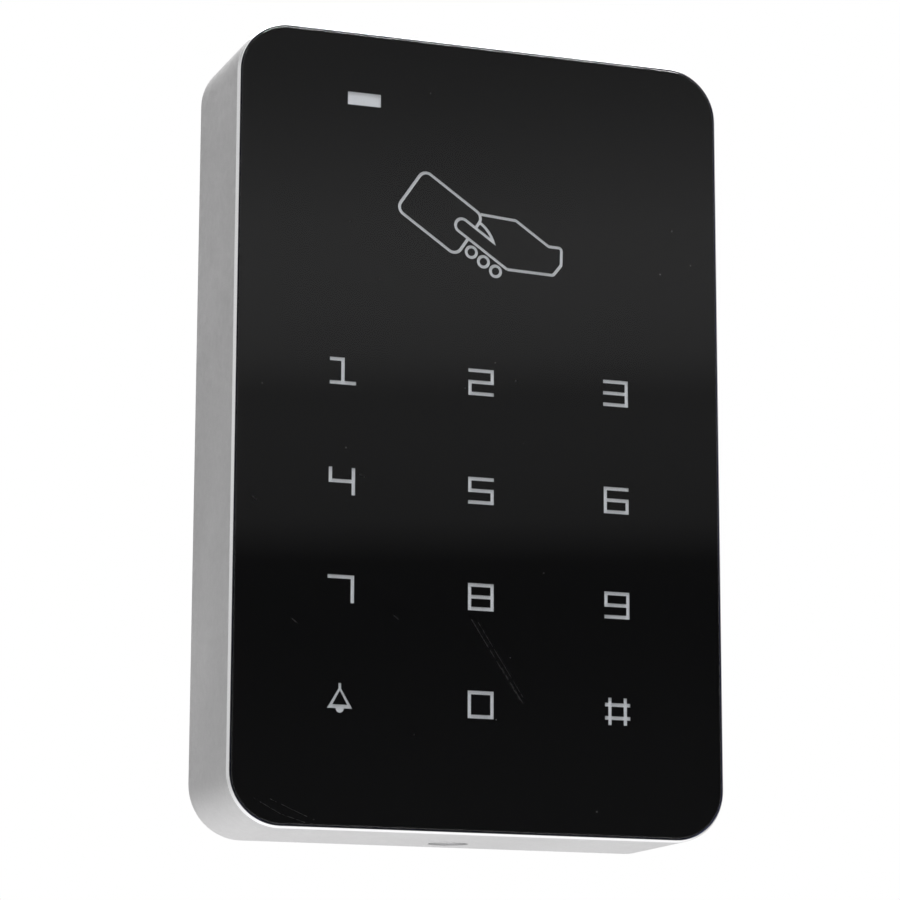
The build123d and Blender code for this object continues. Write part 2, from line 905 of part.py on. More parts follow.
wall_bracket.part.label = "wall_bracket"

with BuildPart() as clinch_nut:
    upright(nut_spigot_radius, tab_bottom, tab_top)
    upright(nut_radius, tab_top, tab_top + nut_height)
    upright(nut_bore_radius, tab_bottom, tab_top + nut_height, Mode.SUBTRACT)
clinch_nut.part.label = "clinch_nut"

# Security screw with a six-sided socket round a centre pin, and the washer under its head
with BuildPart() as security_screw:
    head_bottom = screw_head_top - screw_head_height
    upright(screw_head_radius, head_bottom, screw_head_top)
    rim_edges = security_screw.edges().group_by(Axis.Z)[0]
    chamfer(rim_edges, length=screw_head_edge)
    upright(screw_radius, screw_head_top, screw_tip)
    with BuildSketch(Plane((0, -screw_depth, head_bottom))):
        RegularPolygon(screw_socket_size / 2, 6, major_radius=False)
        Circle(screw_pin_radius, mode=Mode.SUBTRACT)
    extrude(amount=screw_socket_depth, mode=Mode.SUBTRACT)
security_screw.part.label = "security_screw"

with BuildPart() as screw_washer:
    upright(washer_radius, screw_head_top, screw_seat)
    upright(screw_radius + washer_clearance, screw_head_top, screw_seat, Mode.SUBTRACT)
screw_washer.part.label = "screw_washer"

pieces = [
    housing,
    front_glass,
    print_mask,
    legend_diffuser,
    glass_adhesive,
    light_box,
    touch_springs,
    key_leds,
    status_led,
    indicator_light_pipe,
    antenna_coil,
    main_board,
    controller_chip,
    reader_chip,
    touch_chip,
    regulator,
    crystal,
    capacitors,
    buzzer,
    tamper_sensor,
    wiring_header,
    header_pins,
    board_screws,
    rear_cover,
    rear_cover_screws,
    cover_seal,
    wall_bracket,
    clinch_nut,
    security_screw,
    screw_washer,
]
os.makedirs("parts", exist_ok=True)
for piece in pieces:
    export_step(piece.part, f"parts/{piece.part.label}.step")
print(f"depth from the wall to the glass front: {glass_front:.2f} mm")
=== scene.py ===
"""Looks of a wall-mounted card reader with a glass touch keypad.

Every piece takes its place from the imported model, in metres: the wall is the plane Y=0 and
the reader faces -Y. Shapes are drawn in millimetres. A depth is a distance out from the wall.
"""

import json
from math import cos, pi, radians, sin

import bmesh
import bpy
from mathutils import Matrix, Vector

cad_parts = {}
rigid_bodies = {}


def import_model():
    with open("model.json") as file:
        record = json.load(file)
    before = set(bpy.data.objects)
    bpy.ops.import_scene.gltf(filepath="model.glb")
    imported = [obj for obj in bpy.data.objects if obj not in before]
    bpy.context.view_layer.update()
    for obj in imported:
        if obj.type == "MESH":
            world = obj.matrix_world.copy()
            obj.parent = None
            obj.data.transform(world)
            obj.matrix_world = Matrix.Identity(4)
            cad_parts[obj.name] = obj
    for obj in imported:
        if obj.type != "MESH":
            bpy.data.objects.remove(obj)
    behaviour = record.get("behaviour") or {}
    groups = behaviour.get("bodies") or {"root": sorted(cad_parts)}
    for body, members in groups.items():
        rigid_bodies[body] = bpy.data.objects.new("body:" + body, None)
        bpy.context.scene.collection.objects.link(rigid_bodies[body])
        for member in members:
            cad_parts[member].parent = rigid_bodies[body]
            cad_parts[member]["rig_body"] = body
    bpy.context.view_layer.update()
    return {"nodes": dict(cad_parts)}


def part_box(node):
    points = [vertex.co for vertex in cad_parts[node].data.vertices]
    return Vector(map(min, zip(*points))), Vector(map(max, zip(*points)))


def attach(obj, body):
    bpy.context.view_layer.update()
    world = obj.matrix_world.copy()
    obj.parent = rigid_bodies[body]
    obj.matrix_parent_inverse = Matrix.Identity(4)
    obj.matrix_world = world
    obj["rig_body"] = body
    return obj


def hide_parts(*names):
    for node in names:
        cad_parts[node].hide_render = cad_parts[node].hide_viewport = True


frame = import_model()
nodes = frame["nodes"]
body_of_node = {n: o["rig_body"] for n, o in nodes.items()}
MM = 0.001
FLAT_ANGLE = 12  # degrees between faces above which the housing and glass keep a sharp edge
EDGE_ANGLE = 32  # the same for every other piece

# Hairlines and rubbed marks on the glass: start and end as (x, z), and width
SCRATCHES = [
    ((-1.7, -28.5), (5.9, -40.0), 0.09),
    ((-0.7, -28.8), (6.3, -39.5), 0.06),
    ((3.0, -35.4), (6.3, -40.4), 0.11),
    ((-34.6, -55.9), (-30.6, -58.0), 0.045),
    ((-30.6, -58.0), (-26.6, -59.2), 0.045),
    ((-32.2, -55.9), (-25.6, -58.7), 0.035),
    ((-19.2, -8.0), (-18.5, -8.3), 0.16),
    ((-35.4, -12.4), (-34.9, -12.8), 0.14),
    ((-29.6, -29.6), (-28.5, -30.4), 0.07),
    ((-13.8, -28.5), (-13.0, -29.1), 0.07),
]


COVER_SCREWS = (31.2, 52.6)  # how far the rear cover's screws are from the middle, as (x, z)


def corners(x, z):
    """Four places about the middle."""
    return [(side_x * x, side_z * z) for side_x in (-1, 1) for side_z in (-1, 1)]


def sides(node):
    """A node's lowest and highest corner as (x, depth, z), the smaller depth first."""
    low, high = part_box(node)
    return (low.x / MM, -high.y / MM, low.z / MM), (high.x / MM, -low.y / MM, high.z / MM)


# ---------------------------------------------------------------- nodes of the materials


def place_node(tree, kind, sockets=None, **options):
    """Adds a node, sets its options, and gives its sockets values or links."""
    made = tree.nodes.new(kind)
    for name, value in options.items():
        setattr(made, name, value)
    for name, value in (sockets or {}).items():
        if isinstance(value, bpy.types.NodeSocket):
            tree.links.new(value, made.inputs[name])
        else:
            made.inputs[name].default_value = value
    return made


def calc(tree, operation, a, b=0.0, clamp=False):
    return place_node(
        tree, "ShaderNodeMath", {0: a, 1: b}, operation=operation, use_clamp=clamp
    ).outputs[0]


def mix_colours(tree, share, a, b):
    return place_node(
        tree, "ShaderNodeMix", {0: share, 6: a, 7: b}, data_type="RGBA"
    ).outputs[2]


def ramp(tree, share, stops):
    """A ramp whose stops are (place, grey)."""
    made = place_node(tree, "ShaderNodeValToRGB", {"Fac": share})
    elements = made.color_ramp.elements
    while len(elements) > 1:
        elements.remove(elements[-1])
    for number, (place, grey) in enumerate(stops):
        element = elements[0] if number == 0 else elements.new(place)
        element.position = place
        element.color = (grey, grey, grey, 1)
    return made.outputs["Color"]


def noise(tree, scale, detail, vector, roughness=0.5):
    sockets = {"Scale": scale, "Detail": detail, "Roughness": roughness, "Vector": vector}
    return place_node(tree, "ShaderNodeTexNoise", sockets).outputs["Fac"]


def object_place(tree):
    return place_node(tree, "ShaderNodeTexCoord").outputs["Object"]


def new_effect(name, inputs, outputs):
    """An empty node group. Returns it with its inputs by name and its output node."""
    group = bpy.data.node_groups.new(name, "ShaderNodeTree")
    for label, kind, value in inputs:
        socket = group.interface.new_socket(
            name=label, in_out="INPUT", socket_type="NodeSocket" + kind
        )
        socket.default_value = value
    for label, kind in outputs:
        group.interface.new_socket(
            name=label, in_out="OUTPUT", socket_type="NodeSocket" + kind
        )
    given = group.nodes.new("NodeGroupInput").outputs
    return group, given, group.nodes.new("NodeGroupOutput")


def make_grain_effect():
    """Fine grain with a slow drift of tone, for blasted metal, moulded plastic and paint."""
    group, given, result = new_effect(
        "fine_grain",
        [
            ("Colour", "Color", (0.5, 0.5, 0.5, 1)),
            ("Roughness", "Float", 0.5),
            ("Grains per Metre", "Float", 4000),
            ("Tone Spread", "Float", 0.06),
            ("Roughness Spread", "Float", 0.08),
        ],
        [("Colour", "Color"), ("Roughness", "Float"), ("Height", "Float")],
    )
    at = object_place(group)
    grain = noise(group, given["Grains per Metre"], 2.0, at, 0.6)
    drift = noise(group, 45.0, 2.0, at)
    speck = noise(group, calc(group, "MULTIPLY", given["Grains per Metre"], 0.23), 3.0, at)
    slow = calc(
        group, "ADD", calc(group, "SUBTRACT", drift, 0.5), calc(group, "SUBTRACT", speck, 0.5)
    )
    fine = calc(group, "MULTIPLY", calc(group, "SUBTRACT", grain, 0.5), 1.4)
    mixed = calc(group, "ADD", fine, slow)
    tone = calc(group, "ADD", 1.0, calc(group, "MULTIPLY", mixed, given["Tone Spread"]))
    toned = place_node(
        group, "ShaderNodeVectorMath", {0: given["Colour"]}, operation="SCALE"
    )
    group.links.new(tone, toned.inputs["Scale"])
    group.links.new(toned.outputs[0], result.inputs["Colour"])
    rough = calc(
        group,
        "ADD",
        given["Roughness"],
        calc(group, "MULTIPLY", mixed, given["Roughness Spread"]),
        clamp=True,
    )
    group.links.new(rough, result.inputs["Roughness"])
    height = calc(group, "ADD", grain, calc(group, "MULTIPLY", speck, 0.5))
    group.links.new(height, result.inputs["Height"])
    return group


def make_brushed_effect():
    """Long fine lines along one axis, as drawing or turning leaves in metal."""
    group, given, result = new_effect(
        "brushed_lines",
        [
            ("Stretch", "Vector", (1, 1, 12)),
            ("Lines per Metre", "Float", 5000),
            ("Roughness", "Float", 0.3),
            ("Roughness Spread", "Float", 0.15),
        ],
        [("Roughness", "Float"), ("Height", "Float")],
    )
    stretched = place_node(
        group,
        "ShaderNodeVectorMath",
        {0: object_place(group), 1: given["Stretch"]},
        operation="DIVIDE",
    ).outputs[0]
    lines = noise(group, given["Lines per Metre"], 3.0, stretched, 0.6)
    rough = calc(
        group,
        "ADD",
        given["Roughness"],
        calc(group, "MULTIPLY", calc(group, "SUBTRACT", lines, 0.5), given["Roughness Spread"]),
        clamp=True,
    )
    group.links.new(rough, result.inputs["Roughness"])
    group.links.new(lines, result.inputs["Height"])
    return group


def make_scratch_effect():
    """A hairline from one point to another, thinning and breaking up along its way."""
    group, given, result = new_effect(
        "hairline",
        [
            ("Start", "Vector", (0, 0, 0)),
            ("End", "Vector", (0, 0, 0.01)),
            ("Width", "Float", 0.0001),
        ],
        [("Mask", "Float")],
    )
    at = object_place(group)

    def vector(operation, a, b):
        return place_node(group, "ShaderNodeVectorMath", {0: a, 1: b}, operation=operation)

    run = vector("SUBTRACT", given["End"], given["Start"]).outputs[0]
    way = vector("SUBTRACT", at, given["Start"]).outputs[0]
    share = calc(
        group,
        "DIVIDE",
        vector("DOT_PRODUCT", way, run).outputs["Value"],
        vector("DOT_PRODUCT", run, run).outputs["Value"],
        clamp=True,
    )
    nearest = place_node(group, "ShaderNodeVectorMath", {0: run}, operation="SCALE")
    group.links.new(share, nearest.inputs["Scale"])
    off = vector("SUBTRACT", way, nearest.outputs[0]).outputs[0]
    distance = place_node(
        group, "ShaderNodeVectorMath", {0: off}, operation="LENGTH"
    ).outputs["Value"]
    line = calc(
        group, "SUBTRACT", 1.0, calc(group, "DIVIDE", distance, given["Width"]), clamp=True
    )
    broken = ramp(group, noise(group, 900.0, 3.0, at, 0.7), [(0.36, 0.15), (0.55, 1.0)])
    group.links.new(calc(group, "MULTIPLY", line, broken), result.inputs["Mask"])
    return group


def make_dust_effect():
    """Scattered specks of dust, each a small round dot, with most places left clean."""
    group, given, result = new_effect(
        "dust_specks",
        [("Specks per Metre", "Float", 260), ("Size", "Float", 0.03)],
        [("Mask", "Float")],
    )
    at = object_place(group)
    cells = place_node(
        group, "ShaderNodeTexVoronoi", {"Vector": at, "Scale": given["Specks per Metre"]}
    )
    chance = place_node(group, "ShaderNodeSeparateColor", {0: cells.outputs["Color"]})
    size = calc(group, "MULTIPLY", given["Size"], chance.outputs[0])
    dot = calc(group, "LESS_THAN", cells.outputs["Distance"], size)
    kept = calc(group, "GREATER_THAN", chance.outputs[1], 0.55)
    group.links.new(calc(group, "MULTIPLY", dot, kept), result.inputs["Mask"])
    return group


grain_effect = make_grain_effect()
brushed_effect = make_brushed_effect()
scratch_effect = make_scratch_effect()
dust_effect = make_dust_effect()


def use_effect(tree, group, **values):
    """Places a node group. A value's name has underscores for the socket's spaces."""
    made = tree.nodes.new("ShaderNodeGroup")
    made.node_tree = group
    for name, value in values.items():
        socket = made.inputs[name.replace("_", " ")]
        if isinstance(value, bpy.types.NodeSocket):
            tree.links.new(value, socket)
        else:
            socket.default_value = value
    return made.outputs


def new_finish(name):
    """A node material. Returns it, its node tree and its main shader."""
    material = bpy.data.materials.new(name)
    material.use_nodes = True
    tree = material.node_tree
    return material, tree, tree.nodes["Principled BSDF"]


def set_bump(tree, shader, height, depth_mm, strength=1.0):
    bump = place_node(
        tree, "ShaderNodeBump", {"Height": height, "Strength": strength, "Distance": depth_mm * MM}
    )
    tree.links.new(bump.outputs["Normal"], shader.inputs["Normal"])


def grained(name, colour, roughness, grains, depth, tone, spread, **plain):
    """A finish with fine grain, whose plain values go straight on the shader.

    grains are to the metre, depth is the grain's in millimetres, and tone and spread say how
    much its colour and roughness change.
    """
    material, tree, shader = new_finish(name)
    out = use_effect(
        tree,
        grain_effect,
        Colour=(*colour, 1),
        Roughness=roughness,
        Grains_per_Metre=grains,
        Tone_Spread=tone,
        Roughness_Spread=spread,
    )
    tree.links.new(out["Colour"], shader.inputs["Base Color"])
    tree.links.new(out["Roughness"], shader.inputs["Roughness"])
    set_bump(tree, shader, out["Height"], depth)
    for socket, value in plain.items():
        shader.inputs[socket.replace("_", " ")].default_value = value
    return material


def brushed(name, colour, roughness, stretch, lines=5000):
    """A metal with drawn or turned lines over fine grain."""
    material, tree, shader = new_finish(name)
    grain = use_effect(
        tree, grain_effect, Colour=(*colour, 1), Grains_per_Metre=2500, Tone_Spread=0.05
    )
    line = use_effect(
        tree, brushed_effect, Stretch=stretch, Lines_per_Metre=lines, Roughness=roughness
    )
    tree.links.new(grain["Colour"], shader.inputs["Base Color"])
    tree.links.new(line["Roughness"], shader.inputs["Roughness"])
    set_bump(tree, shader, line["Height"], 0.004)
    shader.inputs["Metallic"].default_value = 1.0
    return material


def make_glass():
    """Clear glass with a little dust and the hairlines of SCRATCHES. It lets light through."""
    material, tree, shader = new_finish("keypad_glass")
    tint = (0.96, 0.97, 0.98, 1)
    shader.inputs["Base Color"].default_value = tint
    shader.inputs["Transmission Weight"].default_value = 1.0
    shader.inputs["IOR"].default_value = 1.5
    front = -sides("front_glass")[1][1]
    marks = use_effect(tree, dust_effect, Specks_per_Metre=380.0, Size=0.05)["Mask"]
    for (x1, z1), (x2, z2), width in SCRATCHES:
        line = use_effect(
            tree,
            scratch_effect,
            Start=(x1 * MM, front * MM, z1 * MM),
            End=(x2 * MM, front * MM, z2 * MM),
            Width=width * MM,
        )["Mask"]
        marks = calc(tree, "MAXIMUM", marks, line)
    rubbed = noise(tree, 900.0, 4.0, object_place(tree), 0.7)
    haze = calc(tree, "MULTIPLY", rubbed, 0.012)
    rough = calc(tree, "ADD", haze, calc(tree, "MULTIPLY", marks, 0.55), clamp=True)
    tree.links.new(rough, shader.inputs["Roughness"])
    height = calc(tree, "ADD", marks, calc(tree, "MULTIPLY", rubbed, 0.01))
    set_bump(tree, shader, height, 0.01, 0.5)
    clear = place_node(tree, "ShaderNodeBsdfTransparent", {"Color": tint})
    path = place_node(tree, "ShaderNodeLightPath")
    lit = place_node(
        tree,
        "ShaderNodeMixShader",
        {0: path.outputs["Is Shadow Ray"], 1: shader.outputs[0], 2: clear.outputs[0]},
    )
    tree.links.new(lit.outputs[0], tree.nodes["Material Output"].inputs["Surface"])
    return material


# ---------------------------------------------------------------- shapes


def rounded_outline(width, height, radius, middle=(0, 0), steps=16):
    """Points (x, z) of a rounded rectangle, with as many points whatever its size."""
    points = []
    for quarter, (side_x, side_z) in enumerate(((1, 1), (-1, 1), (-1, -1), (1, -1))):
        x = middle[0] + side_x * (width / 2 - radius)
        z = middle[1] + side_z * (height / 2 - radius)
        for step in range(steps + 1):
            turn = pi / 2 * (quarter + step / steps)
            points.append((x + radius * cos(turn), z + radius * sin(turn)))
    return points


def bridge(mesh, loops, closed, finish_of=None):
    """Joins loops of equal length with bands of faces.

    The ends are filled, unless closed joins the last loop to the first.
    """
    bands = list(zip(loops, loops[1:] + loops[:1]) if closed else zip(loops, loops[1:]))
    for number, (first, second) in enumerate(bands):
        for i in range(len(first)):
            face = mesh.faces.new((first[i - 1], first[i], second[i], second[i - 1]))
            face.material_index = finish_of[number] if finish_of else 0
    if not closed:
        mesh.faces.new(loops[0])
        mesh.faces.new(reversed(loops[-1]))
    bmesh.ops.recalc_face_normals(mesh, faces=mesh.faces[:])


def layered(rings, closed=False, finish_of=None):
    """A solid of rounded rectangles, each (width, height, radius, depth) and maybe a middle."""
    mesh = bmesh.new()
    loops = []
    for width, height, radius, depth, *middle in rings:
        outline = rounded_outline(width, height, radius, *middle)
        loops.append([mesh.verts.new((x * MM, -depth * MM, z * MM)) for x, z in outline])
    bridge(mesh, loops, closed, finish_of)
    return mesh


def circle(turn):
    return 1.0


def hexagon(turn):
    """Reach of a hexagon at each turn, as a share of half its width across the flats."""
    return 1 / cos((turn + pi / 6) % (pi / 3) - pi / 6)


def cross(turn):
    """Reach of a four-armed driver recess, as a share of its arms' length."""
    along, aside = abs(cos(turn)), abs(sin(turn))
    return max(
        min(1 / max(along, 1e-6), 0.3 / max(aside, 1e-6)),
        min(1 / max(aside, 1e-6), 0.3 / max(along, 1e-6)),
    )


def knurl(turn):
    return 1.0 + 0.035 * cos(36 * turn)


def thread(crest, root, start, end, pitch, per_turn=8):
    """Profile steps of a screw thread, whose ridge winds round as it goes along."""
    steps = []
    count = int((end - start) / pitch * per_turn)
    for step in range(count + 1):
        along = start + (end - start) * step / count
        fade = min(1.0, (end - along) / pitch, (along - start) / pitch + 0.02)

        def ridge(turn, along=along, fade=fade):
            wave = abs(((along / pitch - turn / (2 * pi)) % 1) * 2 - 1)
            return (root + (crest - root) * wave * fade) / crest

        steps.append((crest, along, ridge))
    return steps


def turned(profile, place, direction, closed=False, sides_round=48):
    """A piece turned about an axis from place along direction.

    Each step of the profile is (radius, distance along), and maybe an outline.
    """
    mesh = bmesh.new()
    loops = []
    turns = [2 * pi * i / sides_round for i in range(sides_round)]
    for radius, along, *outline in profile:
        reach = outline[0] if outline else circle
        loops.append(
            [
                mesh.verts.new(
                    (radius * reach(t) * cos(t) * MM, radius * reach(t) * sin(t) * MM, along * MM)
                )
                for t in turns
            ]
        )
    bridge(mesh, loops, closed)
    turn = Vector((0, 0, 1)).rotation_difference(Vector(direction)).to_matrix().to_4x4()
    bmesh.ops.transform(
        mesh, matrix=Matrix.Translation(Vector(place) * MM) @ turn, verts=mesh.verts[:]
    )
    return mesh


def wire(mesh, path, radius, closed=False, sides_round=8):
    """Adds a round wire along points in millimetres, its section kept square to the path."""
    path = [Vector(p) for p in path]
    loops = []
    for i, point in enumerate(path):
        if closed:
            along = path[(i + 1) % len(path)] - path[i - 1]
        else:
            along = path[min(i + 1, len(path) - 1)] - path[max(i - 1, 0)]
        across = along.cross(Vector((0, 1, 0))).normalized()
        other = across.cross(along).normalized()
        loops.append(
            [
                mesh.verts.new((point + radius * (across * cos(t) + other * sin(t))) * MM)
                for t in (2 * pi * k / sides_round for k in range(sides_round))
            ]
        )
    bridge(mesh, loops, closed)


def finish_piece(name, mesh, finishes, *stands_for, bevel=0.0, angle=EDGE_ANGLE):
    """Makes the object, eases its edges, and lets it stand for its CAD nodes on their body."""
    data = bpy.data.meshes.new(name)
    mesh.to_mesh(data)
    mesh.free()
    piece = bpy.data.objects.new(name, data)
    bpy.context.scene.collection.objects.link(piece)
    for finish in finishes:
        data.materials.append(finish)
    data.shade_smooth()
    data.set_sharp_from_angle(angle=radians(angle))
    if bevel:
        ease = piece.modifiers.new("eased edges", "BEVEL")
        ease.width = bevel * MM
        ease.segments = 2
        ease.limit_method = "ANGLE"
        ease.angle_limit = radians(angle)
        ease.use_clamp_overlap = True
        ease.harden_normals = True
    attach(piece, body_of_node[stands_for[0]])
    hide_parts(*stands_for)
    return piece


def eased(node, finishes, bevel, choose=None):
    """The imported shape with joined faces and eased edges.

    choose gives a face's finish from its middle, in millimetres, and its normal.
    """
    mesh = bmesh.new()
    mesh.from_mesh(nodes[node].data)
    bmesh.ops.remove_doubles(mesh, verts=mesh.verts[:], dist=1e-6)
    bmesh.ops.dissolve_limit(
        mesh, angle_limit=radians(0.5), verts=mesh.verts[:], edges=mesh.edges[:]
    )
    for face in mesh.faces:
        face.material_index = 0
        if choose:
            middle = face.calc_center_median() / MM
            face.material_index = choose((middle.x, -middle.y, middle.z), face.normal)
    return finish_piece(node + "_eased", mesh, finishes, node, bevel=bevel)


def reshape(piece, others, operation):
    """Cuts or joins other meshes with a piece, and keeps the result as its mesh."""
    for mesh in others:
        data = bpy.data.meshes.new("tool_shape")
        mesh.to_mesh(data)
        mesh.free()
        for finish in piece.data.materials:
            data.materials.append(finish)
        tool = bpy.data.objects.new("tool_shape", data)
        bpy.context.scene.collection.objects.link(tool)
        step = piece.modifiers.new("shape", "BOOLEAN")
        step.operation = operation
        step.object = tool
        step.solver = "EXACT"
        graph = bpy.context.evaluated_depsgraph_get()
        made = bpy.data.meshes.new_from_object(piece.evaluated_get(graph))
        piece.modifiers.clear()
        piece.data = made
        bpy.data.objects.remove(tool)
    piece.data.shade_smooth()
    piece.data.set_sharp_from_angle(angle=radians(FLAT_ANGLE))


# ---------------------------------------------------------------- finishes

blasted = grained(
    "blasted_aluminium", (0.78, 0.775, 0.78), 0.42, 4200, 0.02, 0.13, 0.12, Metallic=1.0
)
cut_rim = grained("cut_rim", (0.95, 0.955, 0.965), 0.15, 2500, 0.002, 0.03, 0.08, Metallic=1.0)
inner_metal = grained(
    "inner_aluminium", (0.6, 0.6, 0.61), 0.5, 3000, 0.01, 0.08, 0.1, Metallic=1.0
)
# painted shade: the lip's inner face beside the glass is coloured dark blue-black for the shade
# that falls in the gap
gap_shadow = grained("gap_shadow", (0.012, 0.016, 0.07), 0.5, 3000, 0.004, 0.1, 0.1)
keypad_glass = make_glass()
black_ink = grained(
    "black_ink", (0.002, 0.002, 0.0024), 0.55, 9000, 0.002, 0.2, 0.1, Specular_IOR_Level=0.0
)
light_sheet = grained("light_sheet", (0.88, 0.89, 0.91), 0.6, 9000, 0.002, 0.03, 0.05)
foam_tape = grained("foam_tape", (0.012, 0.012, 0.012), 0.85, 2500, 0.02, 0.3, 0.1)
box_white = grained("box_white", (0.8, 0.8, 0.77), 0.45, 3500, 0.006, 0.03, 0.08)
spring_wire = brushed("spring_wire", (0.62, 0.62, 0.63), 0.22, (1, 1, 1))
lamp_resin = grained(
    "lamp_resin", (0.86, 0.78, 0.42), 0.25, 3000, 0.004, 0.05, 0.05, Coat_Weight=0.4
)
lamp_body = grained("lamp_body", (0.85, 0.85, 0.82), 0.4, 3000, 0.004, 0.03, 0.05)
clear_guide = grained(
    "clear_guide", (0.92, 0.94, 0.95), 0.08, 3000, 0.001, 0.01, 0.03, Transmission_Weight=0.85
)
copper = grained(
    "copper_wire", (0.72, 0.3, 0.12), 0.25, 3000, 0.003, 0.08, 0.08, Metallic=1.0, Coat_Weight=0.5
)
chip_black = grained("chip_black", (0.018, 0.018, 0.019), 0.5, 6000, 0.008, 0.15, 0.1)
tin = grained("tin", (0.78, 0.78, 0.75), 0.28, 3000, 0.004, 0.06, 0.1, Metallic=1.0)
can_metal = brushed("can_metal", (0.75, 0.75, 0.74), 0.22, (14, 1, 1))
sleeve = grained("capacitor_sleeve", (0.015, 0.02, 0.045), 0.35, 2500, 0.003, 0.1, 0.08)
buzzer_black = grained("buzzer_black", (0.02, 0.02, 0.021), 0.4, 4500, 0.01, 0.12, 0.1)
sensor_resin = grained(
    "sensor_resin", (0.62, 0.3, 0.16), 0.3, 2500, 0.005, 0.12, 0.1, Coat_Weight=0.3
)
nylon_white = grained(
    "header_nylon", (0.82, 0.8, 0.72), 0.42, 3500, 0.006, 0.04, 0.1, Subsurface_Weight=0.1
)
zinc = grained("zinc_plate", (0.6, 0.62, 0.65), 0.34, 900, 0.004, 0.16, 0.22, Metallic=1.0)
cover_black = grained("cover_black", (0.022, 0.022, 0.024), 0.5, 2600, 0.03, 0.12, 0.12)
seal_black = grained("seal_black", (0.02, 0.02, 0.02), 0.7, 2500, 0.008, 0.15, 0.1)
screw_steel = brushed("screw_steel", (0.56, 0.56, 0.57), 0.26, (1, 1, 1), 7000)
nylon_clear = grained(
    "washer_nylon", (0.8, 0.8, 0.75), 0.4, 3500, 0.004, 0.04, 0.08, Subsurface_Weight=0.2
)


def make_board_finish():
    """Green lacquer over copper tracks."""
    material, tree, shader = new_finish("board_green")
    at = object_place(tree)
    tracks = place_node(
        tree,
        "ShaderNodeTexVoronoi",
        {"Vector": at, "Scale": 300.0},
        feature="DISTANCE_TO_EDGE",
        distance="MANHATTAN",
    )
    track = ramp(tree, tracks.outputs["Distance"], [(0.05, 1.0), (0.08, 0.0)])
    lacquer = use_effect(
        tree,
        grain_effect,
        Colour=(0.012, 0.13, 0.05, 1),
        Roughness=0.28,
        Grains_per_Metre=3000.0,
        Tone_Spread=0.1,
    )
    colour = mix_colours(tree, track, lacquer["Colour"], (0.03, 0.26, 0.09, 1))
    tree.links.new(colour, shader.inputs["Base Color"])
    tree.links.new(lacquer["Roughness"], shader.inputs["Roughness"])
    set_bump(tree, shader, track, 0.03)
    return material


board_green = make_board_finish()


# ---------------------------------------------------------------- housing and glass


def make_housing():
    """Blasted shell with a bright cut rim, a ledge under the glass and rooms behind it."""
    low, high = sides("housing")
    glass_low, glass_high = sides("front_glass")
    width, height = high[0] - low[0], high[2] - low[2]
    front_width = glass_high[0] - glass_low[0] + 1.0
    front_height = glass_high[2] - glass_low[2] + 1.0
    back, rim, radius = low[1], high[1], 8.0
    cut_start = rim - 0.55
    ledge_front = sides("glass_adhesive")[0][1]
    ledge_back = ledge_front - 2.0
    step = sides("cover_seal")[1][1]
    ledge_opening = (65.2, 108.0, 4.8)
    room = (70.8, 113.6, 4.8)
    cover_seat = (73.2, 116.0, 6.0)

    def inset(by, depth):
        """The front's outline drawn in by a distance."""
        return front_width - 2 * by, front_height - 2 * by, radius - by, depth

    rings = [
        (width - 0.6, height - 0.6, radius - 0.1, back),
        (width, height, radius + 0.05, back + 0.3),
        (front_width, front_height, radius, cut_start - 0.03),
        (front_width - 0.05, front_height - 0.05, radius, cut_start + 0.02),
        inset(0.26, rim - 0.03),
        inset(0.3, rim),
        inset(0.36, rim),
        inset(0.38, rim - 0.03),
        inset(0.38, ledge_front),
        (*ledge_opening, ledge_front),
        (*ledge_opening, ledge_back),
        (*room, ledge_back),
        (*room, step),
        (*cover_seat, step),
        (*cover_seat, back),
    ]
    # the gap band of faces carries the painted shade beside the glass
    outside, cut, inside, gap = 0, 1, 2, 3
    finish_of = [outside] * 3 + [cut] * 4 + [gap] * 2 + [inside] * 5 + [outside]
    piece = finish_piece(
        "housing_shell",
        layered(rings, closed=True, finish_of=finish_of),
        [blasted, cut_rim, inner_metal, gap_shadow],
        "housing",
        angle=FLAT_ANGLE,
    )
    overlap = 0.05  # posts and pads run this far into the ledge
    posts = [
        turned([(3.5, 6.0), (3.5, ledge_back + overlap)], (x, 0, z), (0, -1, 0))
        for x, z in corners(*COVER_SCREWS)
    ]
    pads = [
        layered(
            [
                (4.9, 7.0, 0.4, depth, middle)
                for depth in (sides("main_board")[1][1], ledge_back + overlap)
            ]
        )
        for middle in corners(33.45, 34)
    ]
    boss = turned([(4.1, 0), (4.1, 3.0)], (0, -6.0, -58.5), (0, 0, 1))
    reshape(piece, posts + pads + [boss], "UNION")
    seat = turned(
        [(3.3, -1.0), (3.2, 0.55), (3.0, 0.75), (3.0, 3.15), (1.7, 3.151), (1.7, 8.0)],
        (0, -6.0, -60.75),
        (0, 0, 1),
    )
    reshape(piece, [seat], "DIFFERENCE")


def make_glass_panel():
    """Toughened panel with a ground edge, bonded to the ink behind it."""
    low, high = sides("front_glass")
    width, height, radius = high[0] - low[0], high[2] - low[2], 7.5
    ink = low[1] - 0.02
    rings = [
        (width - 0.2, height - 0.2, radius - 0.1, ink),
        (width, height, radius, ink + 0.1),
        (width, height, radius, high[1] - 0.2),
        (width - 0.12, height - 0.12, radius - 0.06, high[1] - 0.08),
        (width - 0.4, height - 0.4, radius - 0.2, high[1]),
    ]
    finish_piece(
        "glass_panel", layered(rings), [keypad_glass], "front_glass", angle=FLAT_ANGLE
    )


def carry_over(node, finish):
    """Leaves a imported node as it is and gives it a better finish."""
    data = nodes[node].data
    data.materials.clear()
    data.materials.append(finish)
    data.shade_smooth()
    data.set_sharp_from_angle(angle=radians(EDGE_ANGLE))


make_housing()
make_glass_panel()
carry_over("print_mask", black_ink)
carry_over("legend_diffuser", light_sheet)
eased("glass_adhesive", [foam_tape], 0.0)


# ---------------------------------------------------------------- screws and nut


